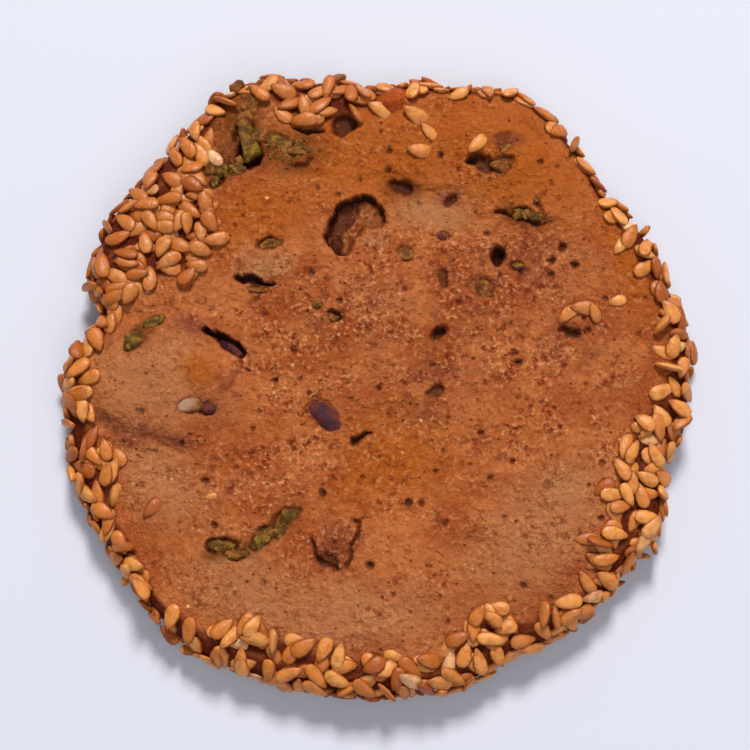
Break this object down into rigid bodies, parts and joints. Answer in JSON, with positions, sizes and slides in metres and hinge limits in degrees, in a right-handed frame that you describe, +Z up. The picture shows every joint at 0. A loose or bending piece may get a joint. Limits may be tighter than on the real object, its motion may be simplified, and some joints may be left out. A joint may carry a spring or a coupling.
{
  "type": "sesame cookie",
  "caption": "Thin round baked cookie with a browned upper face, chopped pistachios sunk in it, and a coat of sesame seeds below and round the rim.",
  "frame": {"origin": "on the resting plane, below the middle of the cookie", "axes": "+Z up through the pistachio face, across the cookie's thickness; +Y towards the top of the picture"},
  "size_m": [0.0695, 0.0694, 0.0066],
  "materials": {
    "dough": "baked golden-brown crust, softly glossed by butter and syrup, with fine pores",
    "sesame": "toasted hulled sesame seed, satin",
    "pistachio": "roasted chopped pistachio kernel with brown-purple skin, satin"
  },
  "bodies": {
    "root": {"cookie": "dough"}
  },
  "joints": []
}
